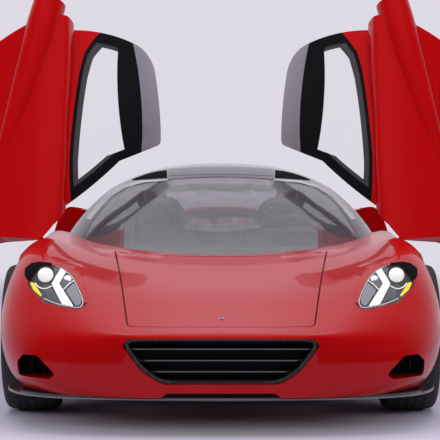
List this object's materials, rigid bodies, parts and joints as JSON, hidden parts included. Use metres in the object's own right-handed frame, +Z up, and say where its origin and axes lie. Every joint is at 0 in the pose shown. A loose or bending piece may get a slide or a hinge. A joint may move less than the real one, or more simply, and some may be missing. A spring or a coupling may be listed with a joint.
{
  "type": "two-seat mid-engined sports car",
  "caption": "Low mid-engined two-seat sports car with raised butterfly doors, opening front and engine lids, steered front wheels and turning wheels.",
  "frame": {"origin": "on the ground under the middle of the car, halfway between nose and tail", "axes": "+Y towards the tail along the length, +X towards the car's own left side, +Z up"},
  "size_m": [2.6842, 4.5, 2.0048],
  "materials": {
    "red_paint": "gloss",
    "carbon_tub": "satin",
    "black_gloss": "gloss",
    "black_satin": "satin",
    "clear_glass": "gloss",
    "dark_glass": "gloss",
    "lamp_black": "gloss",
    "red_lens": "gloss",
    "dark_steel": "satin",
    "alloy": "satin",
    "cast_metal": "matt",
    "black_trim": "matt",
    "black_leather": "satin",
    "rim_dark": "satin",
    "tyre_rubber": "matt"
  },
  "bodies": {
    "chassis": {"front_clam": "red_paint", "rear_clam": "red_paint", "tub": "carbon_tub", "roof_frame": "black_gloss", "windshield": "clear_glass", "grille": "black_satin", "side_duct_meshes": "black_satin", "lower_intake": "black_satin", "splitter": "black_gloss", "headlamp_left": "lamp_black", "headlamp_right": "lamp_black", "headlamp_covers": "clear_glass", "tail_lamps": "red_lens", "rear_grille": "black_satin", "diffuser": "black_satin", "exhaust_tips": "dark_steel", "dashboard": "black_trim", "centre_console": "black_trim", "seat_left": "black_leather", "seat_right": "black_leather", "engine": "cast_metal", "intake_plenums": "red_paint", "front_wishbones": "dark_steel", "rear_wishbones": "dark_steel", "rear_uprights": "alloy"},
    "front_lid": {"front_lid": "red_paint"},
    "engine_lid": {"engine_lid": "red_paint", "rear_glass": "clear_glass"},
    "steering_wheel": {"steering_wheel": "black_leather"},
    "door_left": {"door_left": "red_paint", "door_left_frame": "black_gloss", "door_left_glass": "clear_glass", "door_left_roof": "dark_glass", "door_left_trim": "black_trim"},
    "door_right": {"door_right": "red_paint", "door_right_frame": "black_gloss", "door_right_glass": "clear_glass", "door_right_roof": "dark_glass", "door_right_trim": "black_trim"},
    "front_left_knuckle": {"front_left_knuckle": "alloy"},
    "front_left_wheel": {"front_left_rim": "rim_dark", "front_left_tyre": "tyre_rubber"},
    "rear_left_wheel": {"rear_left_rim": "rim_dark", "rear_left_tyre": "tyre_rubber"},
    "front_right_knuckle": {"front_right_knuckle": "alloy"},
    "front_right_wheel": {"front_right_rim": "rim_dark", "front_right_tyre": "tyre_rubber"},
    "rear_right_wheel": {"rear_right_rim": "rim_dark", "rear_right_tyre": "tyre_rubber"}
  },
  "joints": [
    {"name": "door_left_hinge", "type": "hinge", "parent": "chassis", "child": "door_left", "pos_m": [0.85, -0.58, 0.715], "axis": [-0.6148, 0.6532, 0.4419], "range_deg": [0, 84.5]},
    {"name": "door_right_hinge", "type": "hinge", "parent": "chassis", "child": "door_right", "pos_m": [-0.85, -0.58, 0.715], "axis": [-0.6148, -0.6532, -0.4419], "range_deg": [0, 84.5]},
    {"name": "front_lid_hinge", "type": "hinge", "parent": "chassis", "child": "front_lid", "pos_m": [0, -0.94, 0.686], "axis": [-1, 0, 0], "range_deg": [0, 60]},
    {"name": "engine_lid_hinge", "type": "hinge", "parent": "chassis", "child": "engine_lid", "pos_m": [0, 0.821, 1.086], "axis": [1, 0, 0], "range_deg": [0, 50]},
    {"name": "steer_left", "type": "hinge", "parent": "chassis", "child": "front_left_knuckle", "pos_m": [0.838, -1.3, 0.33], "axis": [0, 0, 1], "range_deg": [-30, 30]},
    {"name": "front_left_wheel_spin", "type": "hinge", "parent": "front_left_knuckle", "child": "front_left_wheel", "pos_m": [0.838, -1.3, 0.33], "axis": [1, 0, 0], "continuous": true},
    {"name": "rear_left_wheel_spin", "type": "hinge", "parent": "chassis", "child": "rear_left_wheel", "pos_m": [0.812, 1.35, 0.345], "axis": [1, 0, 0], "continuous": true},
    {"name": "steer_right", "type": "hinge", "parent": "chassis", "child": "front_right_knuckle", "pos_m": [-0.838, -1.3, 0.33], "axis": [0, 0, 1], "range_deg": [-30, 30]},
    {"name": "front_right_wheel_spin", "type": "hinge", "parent": "front_right_knuckle", "child": "front_right_wheel", "pos_m": [-0.838, -1.3, 0.33], "axis": [1, 0, 0], "continuous": true},
    {"name": "rear_right_wheel_spin", "type": "hinge", "parent": "chassis", "child": "rear_right_wheel", "pos_m": [-0.812, 1.35, 0.345], "axis": [1, 0, 0], "continuous": true},
    {"name": "steering_wheel_turn", "type": "hinge", "parent": "chassis", "child": "steering_wheel", "pos_m": [0.345, -0.17, 0.7], "axis": [0, 0.9272, 0.3746], "range_deg": [-420, 420]}
  ],
  "couplings": [
    {"joint": "steer_right", "follows": "steer_left", "ratio": 1},
    {"joint": "steering_wheel_turn", "follows": "steer_left", "ratio": 14}
  ]
}
